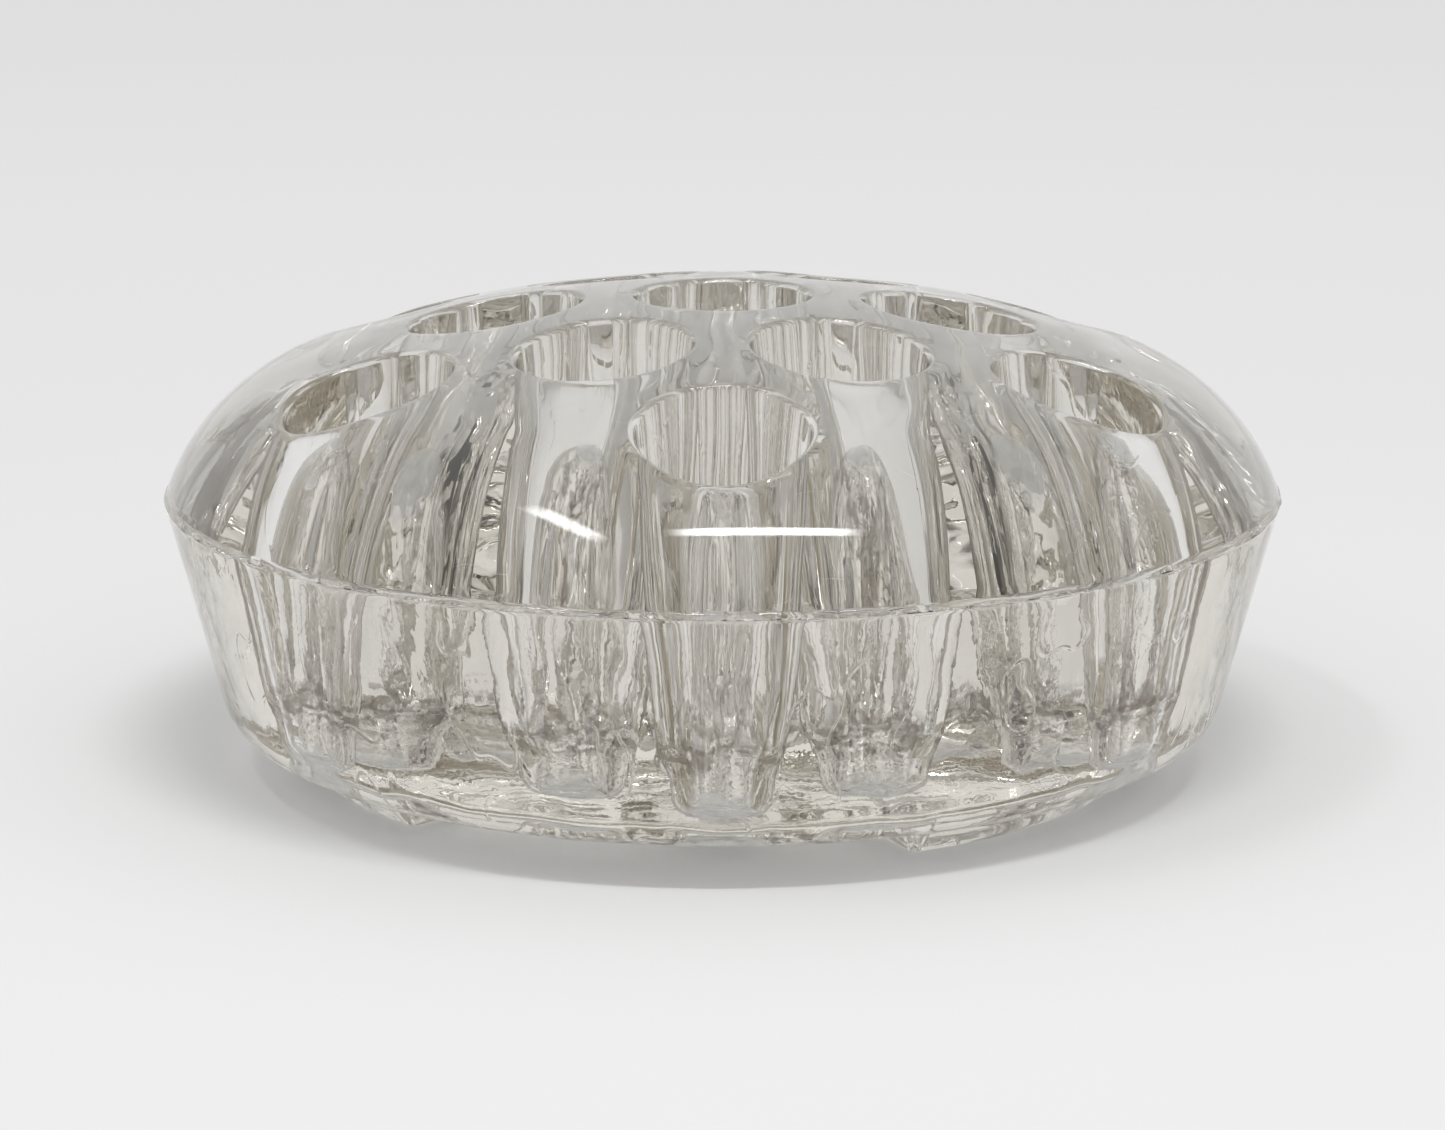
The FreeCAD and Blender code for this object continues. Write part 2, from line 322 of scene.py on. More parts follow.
def tip_profile():
    """Radius and height from the foot of the long wall over waist and neck to the floor."""
    top = WAIST_HEIGHT + TIP_LENGTH
    corners = [(wall_radius(top), top), (WAIST_RADIUS, WAIST_HEIGHT), (NECK_RADIUS, NECK_HEIGHT),
               (FLOOR_RADIUS, FLOOR_HEIGHT), (0, FLOOR_HEIGHT)]
    line = rounded(corners, [WAIST_ROUND, WAIST_ROUND, FLOOR_ROUND], TIP_STEPS)
    return line[:-1] + [(FLOOR_RADIUS * TIP_RING, FLOOR_HEIGHT)]


def hole_profile(hole, angles):
    """Rows of radius and height, for each angle, from the mouth's outer edge to the floor."""
    out, up, slope = rim_tangents(hole, angles)
    start = math.pi / 2 + np.arctan(slope)
    end = math.pi - DRAFT
    rows = []
    for step in range(RIM_STEPS + 1):
        turn = start + (end - start) * step / RIM_STEPS
        rows.append((out + RIM_ROUND * np.cos(turn), up + RIM_ROUND * np.sin(turn)))
    outer_x = hole[0] + rows[0][0] * np.cos(angles)
    outer_y = hole[1] + rows[0][0] * np.sin(angles)
    rows[0] = (rows[0][0], crown_height(outer_x, outer_y))
    wall_top_out, wall_top_up = rows[-1]
    tip = tip_profile()
    wall_bottom_out, wall_bottom_up = tip[0]
    for step in range(1, WALL_STEPS):
        share = step / WALL_STEPS
        rows.append((wall_top_out + (wall_bottom_out - wall_top_out) * share,
                     wall_top_up + (wall_bottom_up - wall_top_up) * share))
    for reach, height in tip:
        rows.append((np.full(HOLE_STEPS, reach), np.full(HOLE_STEPS, height)))
    return rows


def hole_loops(hole, seed):
    """Closed loops of points down a stem hole, with the streaks and lumps of pressed glass."""
    angles = np.arange(HOLE_STEPS) * 2 * math.pi / HOLE_STEPS
    loops = []
    for row, (reach, height) in enumerate(hole_profile(hole, angles)):
        fade = np.clip((row - 1) / RIM_STEPS, 0, 1)
        about = np.stack([reach * np.cos(angles), reach * np.sin(angles), height], axis=1)
        deep = np.clip((DEEP_HEIGHT - height) / DEEP_HEIGHT, 0, 1)
        streaks = ripple(about, STREAK_LENGTHS, seed) * STREAK
        lines = ripple(about, LINE_LENGTHS, seed + 2) * LINE
        bends = ripple(about, BEND_LENGTHS, seed + 1) * BEND
        lumps = ripple(about, LUMP_LENGTHS, seed + 3) * LUMP * deep
        change = (streaks + lines + bends + lumps) * fade
        moved = reach + change * np.minimum(reach / FLOOR_RADIUS, 1)
        loops.append(np.stack([hole[0] + moved * np.cos(angles),
                               hole[1] + moved * np.sin(angles), height], axis=1))
    return loops


# ---------------------------------------------------------------- outside of the block

def foot_drop(x, y, spread=1.0):
    """How far the underside reaches down to the table at a place: 0 beside a foot, 1 on it.

    A spread above 1 widens the slopes round the feet.
    """
    radius = np.hypot(x, y)
    angle = np.arctan2(y, x)
    nearest = np.full(np.shape(x), 1e9)
    for middle in FOOT_MIDDLES:
        off = np.abs((angle - middle + math.pi) % (2 * math.pi) - math.pi)
        past_end = np.clip(off - FOOT_ARC / 2, 0, None) * radius / FOOT_END_LEAN
        past_side = np.maximum((FOOT_INNER - radius) / FOOT_INNER_LEAN,
                               (radius - FOOT_OUTER) / FOOT_OUTER_LEAN)
        nearest = np.minimum(nearest, np.hypot(past_end, np.maximum(past_side, 0)))
    return 0.5 + 0.5 * np.cos(math.pi * np.clip(nearest / spread, 0, 1))


def side_profile():
    """Radius and height of the rings from the shoulder down to the underside."""
    rings = []
    low = math.acos((SEAM_RADIUS - SHOULDER_RADIUS) / SHOULDER_ARC)
    high = math.acos((BAND_RADIUS - SHOULDER_RADIUS) / SHOULDER_ARC)
    for step in range(BAND_STEPS + 1):
        turn = high + (low - high) * step / BAND_STEPS
        rings.append((SHOULDER_RADIUS + SHOULDER_ARC * math.cos(turn),
                      SHOULDER_HEIGHT + SHOULDER_ARC * math.sin(turn)))
    for turn in RIDGE_TURNS:
        rings.append((SEAM_RADIUS - RIDGE_RADIUS * (RIDGE_SINK - math.cos(turn)),
                      SEAM_HEIGHT + RIDGE_RADIUS * math.sin(turn)))
    corner = rounded(
        [(BASE_RADIUS + CORNER_RISE * WALL_LEAN, BASE_HEIGHT + CORNER_RISE),
         (BASE_RADIUS, BASE_HEIGHT), (BASE_RADIUS - CORNER_RUN, BASE_HEIGHT)],
        [BASE_ROUND], CORNER_STEPS)[1:]
    top = SEAM_HEIGHT - RIDGE_FOOT * RIDGE_RADIUS
    bottom = corner[0][1]
    for row in range(SIDE_ROWS):
        height = top + (bottom - top) * (row + SIDE_OFFSET) / SIDE_ROWS
        rings.append((BASE_RADIUS + WALL_LEAN * (height - BASE_HEIGHT), height))
    rings.extend(corner)
    radius = corner[-1][0]
    count = round((radius - UNDER_RADIUS) / UNDER_SPACING)
    for step in range(1, count + 1):
        rings.append((radius + (UNDER_RADIUS - radius) * step / count, BASE_HEIGHT))
    return rings


def share_of(value):
    """The value, kept between 0 and 1."""
    return min(max(value, 0), 1)


def side_push(place, reach, height):
    """How far the waves push out a ring of places on the outside."""
    if height >= SEAM_HEIGHT + RIDGE_RADIUS:
        return np.zeros(RING_STEPS)
    fade = wall_share(height)
    if fade == 0:
        return SEAM_WAVE * (ripple(place, SEAM_WAVE_LENGTHS, SEAM_SEED) - SEAM_BIAS)
    inside = share_of((CHILL_RADIUS - reach) / CHILL_CALM)
    chill = WALL_CHILL + (BASE_CHILL - WALL_CHILL) * inside
    push = fade * (ripple(place, WALL_WAVE_LENGTHS, WALL_SEED) * WALL_WAVE
                   + ripple(place, CHILL_LENGTHS, CHILL_SEED) * chill)
    corner = share_of((CORNER_HEIGHT - height) / CORNER_CALM) * share_of(reach - CORNER_RADIUS)
    push = push + corner * CORNER_WAVE * ripple(place, CORNER_LENGTHS, CORNER_SEED)
    return push + ripple(place, UNDER_LENGTHS, UNDER_SEED) * UNDER_WAVE * inside


def wall_share(height):
    """1 on the drafted wall and the underside, 0 from the seam upwards."""
    return share_of((SEAM_HEIGHT - RIDGE_RADIUS - height) / SEAM_CALM)


def side_loops():
    """Rings of points down the outside, with chill waves on the wall and the underside."""
    angles = np.arange(RING_STEPS) * 2 * math.pi / RING_STEPS
    profile = side_profile()
    loops = []
    wall_shares = []
    for row, (reach, height) in enumerate(profile):
        before = profile[max(row - 1, 0)]
        after = profile[min(row + 1, len(profile) - 1)]
        along = np.subtract(after, before) / np.linalg.norm(np.subtract(after, before))
        x = reach * np.cos(angles)
        y = reach * np.sin(angles)
        place = np.stack([x, y, np.full(RING_STEPS, float(height))], axis=1)
        wall_shares.append(wall_share(height))
        drop = foot_drop(x, y) if height < BASE_HEIGHT + FOOT_TOP else 0
        low_down = share_of((CORNER_HEIGHT - height) / CORNER_CALM)
        calm = np.clip(1 - CALM_STEEPNESS * drop, 0, 1)
        calm = calm * (1 - low_down * foot_drop(x, y, CALM_SPREAD))
        push = side_push(place, reach, height) * calm
        reach_now = reach - along[1] * push
        z = height + along[0] * push - (BASE_HEIGHT - FOOT_GAP) * drop
        loops.append(np.stack([reach_now * np.cos(angles), reach_now * np.sin(angles),
                               z * np.ones(RING_STEPS)], axis=1))
    return loops, wall_shares


def under_height(x, y):
    """Height of the underside's middle, chilled and wavy like the rest."""
    place = np.stack([x, y, np.full_like(x, BASE_HEIGHT)], axis=-1)
    return (BASE_HEIGHT - ripple(place, CHILL_LENGTHS, CHILL_SEED) * BASE_CHILL
            - ripple(place, UNDER_LENGTHS, UNDER_SEED) * UNDER_WAVE)


def sheet(outer, rims, spacing, height):
    """A triangulated sheet inside an outer ring and outside the rims of the holes."""
    outline = [outer] + rims
    flat = []
    edges = []
    for loop in outline:
        base = len(flat)
        flat.extend((float(x), float(y)) for x, y, z in loop)
        edges.extend((base + i, base + (i + 1) % len(loop)) for i in range(len(loop)))
    border = np.array(flat)
    reach = math.hypot(outer[0][0], outer[0][1])
    rows = int(2 * reach / spacing) + 2
    inner = []
    for row in range(-rows, rows):
        y = row * spacing * math.sqrt(3) / 2
        for column in range(-rows, rows):
            x = (column + 0.5 * (row % 2)) * spacing
            if math.hypot(x, y) > reach - 0.5 * spacing:
                continue
            if np.min(np.hypot(border[:, 0] - x, border[:, 1] - y)) < 0.55 * spacing:
                continue
            if any(inside_loop(x, y, hole, rim) for hole, rim in zip(HOLES, rims)):
                continue
            inner.append((x, y))
    places = [Vector(p) for p in flat + inner]
    result = delaunay_2d_cdt(places, edges, [], 1, 1e-6)
    verts, faces = result[0], result[2]
    kept = []
    for face in faces:
        x = sum(verts[i].x for i in face) / len(face)
        y = sum(verts[i].y for i in face) / len(face)
        if not any(inside_loop(x, y, hole, rim) for hole, rim in zip(HOLES, rims)):
            kept.append(tuple(face))
    xy = np.array([(v.x, v.y) for v in verts])
    points = np.column_stack([xy, height(xy[:, 0], xy[:, 1])])
    fixed = np.concatenate(outline)
    for row, origin in enumerate(result[3]):
        first = min(origin) if origin else len(fixed)
        if first < len(fixed):
            points[row] = fixed[first]
    return points, kept


def inside_loop(x, y, hole, rim):
    """True inside a rim, whose points go round the hole in even steps of angle."""
    off = math.hypot(x - hole[0], y - hole[1])
    angle = math.atan2(y - hole[1], x - hole[0]) % (2 * math.pi)
    place = angle / (2 * math.pi) * len(rim)
    low = int(place) % len(rim)
    near = math.hypot(rim[low][0] - hole[0], rim[low][1] - hole[1])
    after = rim[(low + 1) % len(rim)]
    far = math.hypot(after[0] - hole[0], after[1] - hole[1])
    return off < near + (far - near) * (place - int(place))


def make_block():
    work = Patchwork()
    sides, wall_shares = side_loops()
    work.add_loops(sides, [(share, 0) for share in wall_shares])
    work.add(*sheet(sides[-1], [], UNDER_SPACING, under_height), (1, 0))
    rims = []
    for index, hole in enumerate(HOLES):
        loops = hole_loops(hole, HOLE_SEED + SEEDS_PER_HOLE * index)
        rims.append(loops[0])
        shares = [(0, min(row / RIM_STEPS, 1)) for row in range(len(loops))]
        work.add_loops(loops, shares, (*hole, FLOOR_HEIGHT))
    work.add(*sheet(sides[0], rims, CROWN_SPACING, crown_height), (0, 0))
    block = bpy.data.objects.new("pressed_glass_block", work.build("pressed_glass_block"))
    bpy.context.scene.collection.objects.link(block)
    return block


# ---------------------------------------------------------------- looks

# Glass: refraction, absorption and the finest relief, which is bump. Lengths are millimetres.
GLASS_IOR = 1.52
GLASS_TINT = (0.66, 0.60, 0.46)
GLASS_DENSITY = 6.5
SURFACE_ROUGHNESS = 0.01
BUMP_HEIGHT = 0.012
CHILL_GRAIN = (1.0, 1.0, 1.5)
CHILL_ON_WALL = 0.8
CHILL_ANYWHERE = 0.05
CHILL_ON_FEET = 0.15
FOOT_SMOOTH = (1.5, 3.2)
LUMP_GRAIN = (2.0, 2.0, 2.4)
BASE_LUMPS = 7
BASE_ZONE = (4.5, 9.0)
OFF_FEET = (2.3, 2.8)
INSIDE_CORNER = (38.0, 41.5)
STREAK_GRAIN = (2.3, 2.3, 18.0)
STREAK_BUMP = 0.6
FOLD_GRAIN = (6, 6, 12)
FOLD_WIDTH = 0.016
FOLD_PATCHES = (9, 9, 9)
FOLD_PATCH_EDGE = (0.48, 0.6)
CREASES = 3
CREASES_IN_HOLES = 0.3

# Coats on the glass. A cover is the share of the surface that a coat hides.
TENT_LIGHT = 0.5
FILM_COLOUR = (0.66, 0.60, 0.48)
FILM_COVER = 0.06
FILM_PATCHES = (5, 5, 7)
FILM_PATCH_EDGE = (0.35, 0.7)
FILM_LEAST = 0.3
# Painted shade: a dark glow on the stem holes' walls where they are seen edge on.
EDGE_SHADE_COLOUR = (0.20, 0.18, 0.14)
EDGE_SHADE_COVER = 0.62
EDGE_SHADE_FACING = (0.62, 0.95)
DEPOSIT_COLOUR = (0.20, 0.13, 0.07)
DEPOSIT_COVER = 0.55
DEPOSIT_HEIGHT = WAIST_HEIGHT - 0.2
DEPOSIT_FADE = (0.6, 2.0)
DEPOSIT_PATCHES = (1.4, 1.4, 0.9)
DEPOSIT_PATCH_EDGE = (0.45, 0.58)
# White limescale on the hole floors that glows: partly a painted highlight, the bright disc on
# those floors.
SCALE_HIGHLIGHT_COLOUR = (0.92, 0.92, 0.90)
SCALE_HIGHLIGHT_FADE = (6.2, 7.4)
SCALE_HIGHLIGHT_PATCHES = (1.6, 1.6, 1.6)
SCALE_HIGHLIGHT_PATCH_EDGE = (0.35, 0.6)
SCALE_HIGHLIGHT_COVERS = (0.2, 0.6)
SCRATCH_COLOUR = (0.8, 0.8, 0.78)
SCRATCH_COVER = 0.35
SCRATCH_GRAIN = (9, 4, 9)
SCRATCH_WIDTH = 0.004
SCRATCH_PATCHES = (4, 7, 6)
SCRATCH_PATCH_EDGE = (0.56, 0.64)

# Table: its own grey, and how it fades with distance into an even tone, then the backdrop's.
TABLE_GREY = 0.80
TABLE_REACH = 3.0
TABLE_GLOW = 0.07
TABLE_FAR = 0.79
TABLE_FADE = (50, 240)
BACKDROP_FADE = (200, 650)

# Studio light as brightness. The tent is given as stops of (height of the direction, brightness).
BACKDROP = 0.74
BACK_LIGHT = 0.88
HORIZON = 0.38
ROOM_DARK = 0.06
CEILING = 0.72
BACK_STOPS = [(0.0, BACK_LIGHT), (0.5, BACK_LIGHT), (0.8, CEILING), (1.0, CEILING)]
FRONT_STOPS = [(0.0, HORIZON), (0.08, HORIZON), (0.25, ROOM_DARK), (0.55, ROOM_DARK),
               (0.85, CEILING), (1.0, CEILING)]
FRONT_TO_BACK = (-0.1, 0.7)
CAMERA_SIDE = 0.06
CAMERA_DIRECTION = (0, -0.97, 0.24)
CAMERA_PATCH = (math.cos(math.radians(6)), math.cos(math.radians(4)))
TABLE_FRONT = 0.89
TABLE_BACK = 0.56
TABLE_BACK_TO_FRONT = (0.8, -0.6)

# Strip lamps in metres: where each starts and ends, its width and its radiance.
FRONT_STRIP = ((-0.14, -0.345, 0.83), (0.34, -0.32, 0.83), 0.080, 45)
SIDE_STRIP = ((-0.385, -0.05, 0.83), (-0.295, -0.42, 0.83), 0.075, 16)
STRIP_FADES = (("X", 0.30), ("Y", 0.35))

# Camera: a long lens, aimed a little below the middle of the seam. Angles are radians.
LENS = 109.7
SENSOR_WIDTH = 36
CLIP_NEAR = 0.01
CLIP_FAR = 20
CAMERA_DISTANCE = 0.40239
CAMERA_ELEVATION = 0.21736
CAMERA_DIP = 0.01818

# Light paths: thick glass needs many, and a clamp keeps stray sparks away.
GLASS_BOUNCES = 32
GLOSSY_BOUNCES = 16
BRIGHTEST_INDIRECT = 10


def grey(brightness):
    return brightness, brightness, brightness, 1


class Shader:
    """The node tree of a material, world or lamp, with small helpers to write it as code."""

    def __init__(self, owner, output="ShaderNodeOutputMaterial"):
        owner.use_nodes = True
        self.nodes = owner.node_tree.nodes
        self.links = owner.node_tree.links
        self.nodes.clear()
        self.output = self.nodes.new(output)

    def finish(self, surface):
        """Connect what the whole tree gives."""
        self.links.new(surface, self.output.inputs["Surface"])

    def feed(self, node, values):
        """Set a node's inputs: a socket is linked, anything else is a value."""
        for key, value in values.items():
            if isinstance(value, bpy.types.NodeSocket):
                self.links.new(value, node.inputs[key])
            else:
                node.inputs[key].default_value = value
        return node

    def math(self, operation, *values):
        node = self.nodes.new("ShaderNodeMath")
        node.operation = operation
        return self.feed(node, dict(enumerate(values))).outputs[0]

    def product(self, first, *others):
        """All the values multiplied together."""
        for other in others:
            first = self.math("MULTIPLY", first, other)
        return first

    def place(self, stretch=(1, 1, 1)):
        """The place on the block in millimetres, squeezed by stretch."""
        where = self.nodes.new("ShaderNodeNewGeometry")
        scale = self.nodes.new("ShaderNodeVectorMath")
        scale.operation = "MULTIPLY"
        factors = [1 / MM / length for length in stretch]
        self.feed(scale, {0: where.outputs["Position"], 1: factors})
        return scale.outputs["Vector"]

    def noise(self, lengths, detail):
        """Noise between 0 and 1 whose lumps have these lengths in millimetres."""
        node = self.nodes.new("ShaderNodeTexNoise")
        node.noise_dimensions = "3D"
        self.feed(node, {"Vector": self.place(lengths), "Scale": 1.0, "Detail": detail})
        return node.outputs["Fac"]

    def off_middle(self, lengths):
        """How far noise is from its middle value: 0 along thin wandering lines."""
        return self.math("ABSOLUTE", self.math("SUBTRACT", self.noise(lengths, 1), 0.5))

    def range(self, value, low, high, to_low=0.0, to_high=1.0, kind="SMOOTHSTEP"):
        """The value mapped from low and high to to_low and to_high, and kept between them."""
        node = self.nodes.new("ShaderNodeMapRange")
        node.interpolation_type = kind
        self.feed(node, {"Value": value, "From Min": low, "From Max": high,
                         "To Min": to_low, "To Max": to_high})
        return node.outputs["Result"]

    def share(self, name):
        """A share that the mesh stores at its points."""
        node = self.nodes.new("ShaderNodeAttribute")
        node.attribute_name = name
        return node.outputs["Fac"]

    def height(self):
        """Height above the table in millimetres."""
        split = self.nodes.new("ShaderNodeSeparateXYZ")
        self.feed(split, {"Vector": self.place()})
        return split.outputs["Z"]

    def radius(self):
        """Distance from the block's axis in millimetres: height counts for nothing."""
        return self.length(self.place((1, 1, 1e6)))

    def length(self, vector):
        node = self.nodes.new("ShaderNodeVectorMath")
        node.operation = "LENGTH"
        return self.feed(node, {0: vector}).outputs["Value"]

    def coat(self, colour):
        """A thin coat under the tent's even light; a faint glow stands for what it scatters."""
        node = self.nodes.new("ShaderNodeEmission")
        self.feed(node, {"Color": (*colour, 1), "Strength": TENT_LIGHT})
        return node.outputs["Emission"]

    def mix(self, factor, first, second):
        """Two surfaces mixed."""
        node = self.nodes.new("ShaderNodeMixShader")
        return self.feed(node, {0: factor, 1: first, 2: second}).outputs[0]

    def blend(self, factor, first, second):
        """Two colours mixed."""
        node = self.nodes.new("ShaderNodeMix")
        node.data_type = "RGBA"
        return self.feed(node, {"Factor": factor, 6: first, 7: second}).outputs[2]

    def curve(self, value, stops):
        """A smooth grey curve through (position, brightness) stops, for a value from 0 to 1."""
        ramp = self.nodes.new("ShaderNodeValToRGB")
        ramp.color_ramp.interpolation = "EASE"
        elements = ramp.color_ramp.elements
        for position, brightness in stops[1:-1]:
            elements.new(position)
        for element, (position, brightness) in zip(elements, stops):
            element.position = position
            element.color = grey(brightness)
        return self.feed(ramp, {"Fac": value}).outputs["Color"]


def glass_bump(shader, wall, hole, height):
    """Chill marks, lumps on the underside, streaks of the plunger, and a few creases."""
    pressed = shader.math("ADD", wall, hole)
    chill_share = shader.math("ADD", shader.product(wall, CHILL_ON_WALL), CHILL_ANYWHERE)
    calm_feet = shader.range(height, *FOOT_SMOOTH, CHILL_ON_FEET, 1.0)
    chill = shader.product(shader.noise(CHILL_GRAIN, 2), chill_share, calm_feet)
    at_base = shader.range(height, *BASE_ZONE, 1.0, 0.0)
    inside = shader.range(shader.radius(), *INSIDE_CORNER, 1.0, 0.0)
    off_feet = shader.range(height, *OFF_FEET)
    lumps = shader.product(
        shader.noise(LUMP_GRAIN, 1), at_base, pressed, inside, off_feet, BASE_LUMPS)
    streaks = shader.product(shader.noise(STREAK_GRAIN, 1), hole, STREAK_BUMP)
    fold = shader.range(shader.off_middle(FOLD_GRAIN), 0.0, FOLD_WIDTH, 1.0, 0.0)
    folded = shader.range(shader.noise(FOLD_PATCHES, 1), *FOLD_PATCH_EDGE)
    crease_share = shader.math("ADD", wall, shader.product(hole, CREASES_IN_HOLES))
    creases = shader.product(fold, folded, crease_share, CREASES)
    relief = shader.math("ADD", chill, streaks)
    relief = shader.math("ADD", relief, lumps)
    relief = shader.math("ADD", relief, creases)
    bump = shader.nodes.new("ShaderNodeBump")
    shader.feed(bump, {"Height": relief, "Strength": 1.0, "Distance": BUMP_HEIGHT * MM})
    return bump.outputs["Normal"]


def bare_glass(shader, pressed, normal):
    """Clear glass, a little rougher where the mould or the plunger touched it."""
    glass = shader.nodes.new("ShaderNodeBsdfPrincipled")
    rough = shader.product(pressed, SURFACE_ROUGHNESS)
    shader.feed(glass, {"Base Color": (1, 1, 1, 1), "Roughness": rough, "IOR": GLASS_IOR,
                        "Transmission Weight": 1.0, "Normal": normal})
    return glass.outputs["BSDF"]


def add_film(shader, surface, pressed):
    """A thin patchy mineral film."""
    patches = shader.range(shader.noise(FILM_PATCHES, 3), *FILM_PATCH_EDGE, FILM_LEAST, 1.0)
    return shader.mix(shader.product(patches, pressed, FILM_COVER), surface,
                      shader.coat(FILM_COLOUR))


def add_edge_shade(shader, surface, hole):
    """Painted shade: a dark glow on the stem holes' walls where they are seen edge on, which
    draws the dark edges of the tubes.
    """
    facing = shader.nodes.new("ShaderNodeLayerWeight").outputs["Facing"]
    edge = shader.range(facing, *EDGE_SHADE_FACING)
    return shader.mix(shader.product(edge, hole, EDGE_SHADE_COVER), surface,
                      shader.coat(EDGE_SHADE_COLOUR))


def add_deposit(shader, surface, hole, height):
    """The brown crust that old water leaves at the waist of the stem holes."""
    deposit = shader.nodes.new("ShaderNodeBsdfDiffuse")
    shader.feed(deposit, {"Color": (*DEPOSIT_COLOUR, 1)})
    off_waist = shader.math("ABSOLUTE", shader.math("SUBTRACT", height, DEPOSIT_HEIGHT))
    at_waist = shader.range(off_waist, *DEPOSIT_FADE, 1.0, 0.0)
    crusty = shader.range(shader.noise(DEPOSIT_PATCHES, 3), *DEPOSIT_PATCH_EDGE)
    return shader.mix(shader.product(at_waist, crusty, hole, DEPOSIT_COVER), surface,
                      deposit.outputs["BSDF"])


def add_limescale_and_highlight(shader, surface, hole, height):
    """White limescale on the floors of the stem holes, made to glow: partly a painted highlight,
    the bright disc on those floors.
    """
    low = shader.range(height, *SCALE_HIGHLIGHT_FADE, 1.0, 0.0)
    grainy = shader.range(shader.noise(SCALE_HIGHLIGHT_PATCHES, 3), *SCALE_HIGHLIGHT_PATCH_EDGE, *SCALE_HIGHLIGHT_COVERS)
    return shader.mix(shader.product(low, hole, grainy), surface, shader.coat(SCALE_HIGHLIGHT_COLOUR))


def add_scratches(shader, surface, hole):
    """A few hair-thin scratches on the outside."""
    thin = shader.range(shader.off_middle(SCRATCH_GRAIN), 0.0, SCRATCH_WIDTH, 1.0, 0.0)
    some = shader.range(shader.noise(SCRATCH_PATCHES, 1), *SCRATCH_PATCH_EDGE)
    outside = shader.math("SUBTRACT", 1.0, hole)
    return shader.mix(shader.product(thin, some, outside, SCRATCH_COVER), surface,
                      shader.coat(SCRATCH_COLOUR))


def glass_material():
    """Pressed glass with a faint tint, under thin coats of film, painted shade on the holes'
    edges, crust, and limescale that glows as a painted highlight.
    """
    material = bpy.data.materials.new("pressed_clear_glass")
    shader = Shader(material)
    wall = shader.share("wall_share")
    hole = shader.share("hole_share")
    pressed = shader.math("ADD", wall, hole)
    height = shader.height()
    surface = bare_glass(shader, pressed, glass_bump(shader, wall, hole, height))
    surface = add_film(shader, surface, pressed)
    surface = add_edge_shade(shader, surface, hole)
    surface = add_deposit(shader, surface, hole, height)
    surface = add_limescale_and_highlight(shader, surface, hole, height)
    surface = add_scratches(shader, surface, hole)
    tint = shader.nodes.new("ShaderNodeVolumeAbsorption")
    shader.feed(tint, {"Color": (*GLASS_TINT, 1), "Density": GLASS_DENSITY})
    shader.links.new(tint.outputs["Volume"], shader.output.inputs["Volume"])
    shader.finish(surface)
    material.cycles.emission_sampling = "NONE"
    return material


def floor_material():
    """A plain pale table that fades into the backdrop's brightness far away."""
    material = bpy.data.materials.new("pale_table")
    shader = Shader(material)
    plain = shader.nodes.new("ShaderNodeBsdfDiffuse")
    shader.feed(plain, {"Color": grey(TABLE_GREY)})
    distance = shader.length(shader.place())
    far = shader.nodes.new("ShaderNodeEmission")
    shader.feed(far, {"Strength": shader.range(distance, *BACKDROP_FADE, TABLE_FAR, BACKDROP)})
    away = shader.range(distance, *TABLE_FADE, TABLE_GLOW, 1)
    shader.finish(shader.mix(away, plain.outputs["BSDF"], far.outputs["Emission"]))
    return material


# ---------------------------------------------------------------- studio

def add_floor():
    mesh = bpy.data.meshes.new("table")
    signs = ((-1, -1), (1, -1), (1, 1), (-1, 1))
    corners = [(x * TABLE_REACH, y * TABLE_REACH, 0) for x, y in signs]
    mesh.from_pydata(corners, [], [(0, 1, 2, 3)])
    mesh.materials.append(floor_material())
    floor = bpy.data.objects.new("table", mesh)
    bpy.context.scene.collection.objects.link(floor)


def strip_nodes(light):
    """Make a lamp's light fade out towards its four edges."""
    shader = Shader(light, "ShaderNodeOutputLight")
    where = shader.nodes.new("ShaderNodeNewGeometry")
    split = shader.nodes.new("ShaderNodeSeparateXYZ")
    shader.feed(split, {"Vector": where.outputs["Parametric"]})
    fades = [
        shader.range(shader.math("PINGPONG", split.outputs[side], 0.5), 0.0, share)
        for side, share in STRIP_FADES
    ]
    glow = shader.nodes.new("ShaderNodeEmission")
    shader.feed(glow, {"Strength": shader.product(*fades)})
    shader.finish(glow.outputs["Emission"])


def add_strip(name, start, end, width, radiance):
    """A strip lamp between two places, facing the block, with ends that fade out."""
    light = bpy.data.lights.new(name, "AREA")
    light.shape = "RECTANGLE"
    light.size = (Vector(end) - Vector(start)).length
    light.size_y = width
    light.energy = radiance * math.pi * light.size * width
    strip_nodes(light)
    middle = (Vector(start) + Vector(end)) / 2
    along = (Vector(end) - Vector(start)).normalized()
    away = (middle - Vector((0, 0, SEAM_HEIGHT * MM))).normalized()
    away = (away - along * away.dot(along)).normalized()
    turn = Matrix((along, away.cross(along), away)).transposed()
    lamp = bpy.data.objects.new(name, light)
    lamp.matrix_world = Matrix.Translation(middle) @ turn.to_4x4()
    bpy.context.scene.collection.objects.link(lamp)


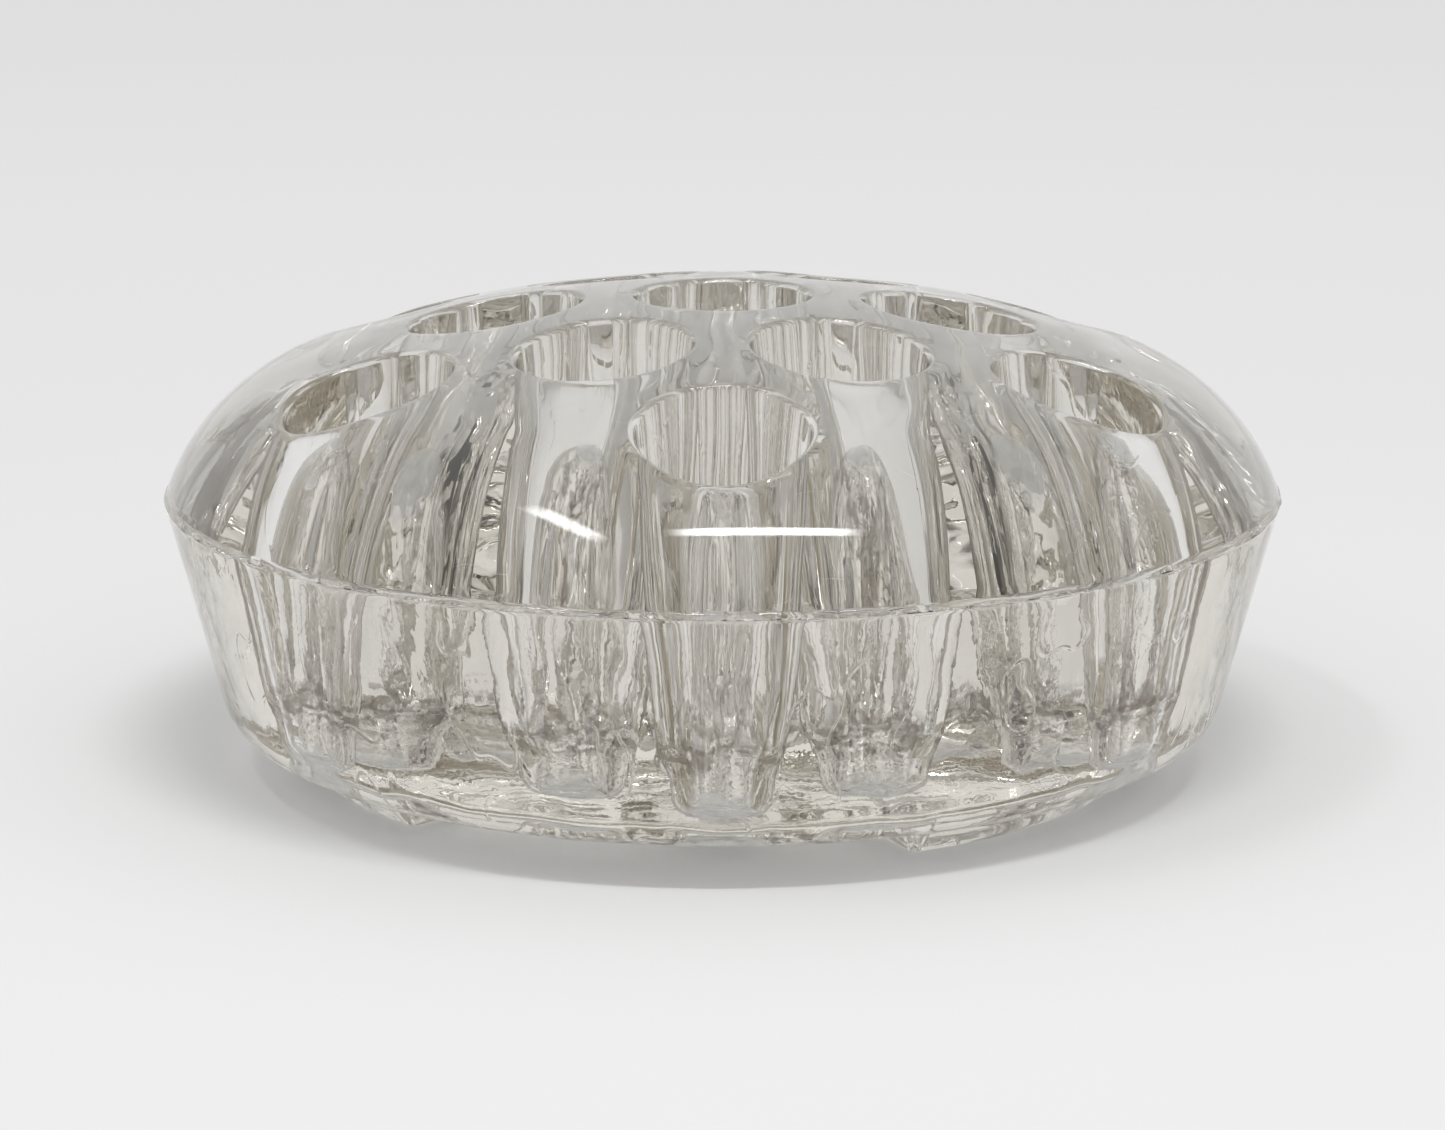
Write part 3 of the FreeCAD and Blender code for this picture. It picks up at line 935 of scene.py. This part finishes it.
def add_world():
    """A light tent: pale backdrop and horizon, a darker room behind the camera.

    The camera itself sees an even backdrop, the glass sees the tent, and the table is lit by
    a light that comes more from the front.
    """
    world = bpy.data.worlds.new("studio")
    world.cycles.sampling_method = "NONE"
    bpy.context.scene.world = world
    shader = Shader(world, "ShaderNodeOutputWorld")
    direction = shader.nodes.new("ShaderNodeTexCoord").outputs["Generated"]
    split = shader.nodes.new("ShaderNodeSeparateXYZ")
    shader.feed(split, {"Vector": direction})
    depth = split.outputs["Y"]
    height = split.outputs["Z"]
    tent = shader.blend(shader.range(depth, *FRONT_TO_BACK),
                        shader.curve(height, FRONT_STOPS), shader.curve(height, BACK_STOPS))
    aim = shader.nodes.new("ShaderNodeVectorMath")
    aim.operation = "DOT_PRODUCT"
    shader.feed(aim, {0: direction, 1: CAMERA_DIRECTION})
    at_camera = shader.range(aim.outputs["Value"], *CAMERA_PATCH, kind="LINEAR")
    tent = shader.blend(at_camera, tent, grey(CAMERA_SIDE))
    path = shader.nodes.new("ShaderNodeLightPath")
    shown = shader.blend(path.outputs["Is Camera Ray"], tent, grey(BACKDROP))
    for_table = shader.range(depth, *TABLE_BACK_TO_FRONT, TABLE_BACK, TABLE_FRONT)
    light = shader.blend(path.outputs["Is Diffuse Ray"], shown, for_table)
    background = shader.nodes.new("ShaderNodeBackground")
    shader.feed(background, {"Color": light})
    shader.finish(background.outputs["Background"])


def add_camera():
    camera = bpy.data.cameras.new("camera")
    camera.lens = LENS
    camera.sensor_width = SENSOR_WIDTH
    camera.clip_start = CLIP_NEAR
    camera.clip_end = CLIP_FAR
    holder = bpy.data.objects.new("camera", camera)
    bpy.context.scene.collection.objects.link(holder)
    holder.location = (0, -CAMERA_DISTANCE * math.cos(CAMERA_ELEVATION),
                       SEAM_HEIGHT * MM + CAMERA_DISTANCE * math.sin(CAMERA_ELEVATION))
    holder.rotation_euler = (math.pi / 2 - CAMERA_ELEVATION - CAMERA_DIP, 0, 0)
    bpy.context.scene.camera = holder


def set_light_paths():
    scene = bpy.context.scene
    scene.view_settings.view_transform = "Standard"
    scene.cycles.max_bounces = GLASS_BOUNCES
    scene.cycles.transmission_bounces = GLASS_BOUNCES
    scene.cycles.glossy_bounces = GLOSSY_BOUNCES
    scene.cycles.sample_clamp_indirect = BRIGHTEST_INDIRECT


block = make_block()
block.data.materials.append(glass_material())
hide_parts(NODE)
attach(block, "root")
add_floor()
add_world()
add_strip("front_strip", *FRONT_STRIP)
add_strip("side_strip", *SIDE_STRIP)
add_camera()
set_light_paths()
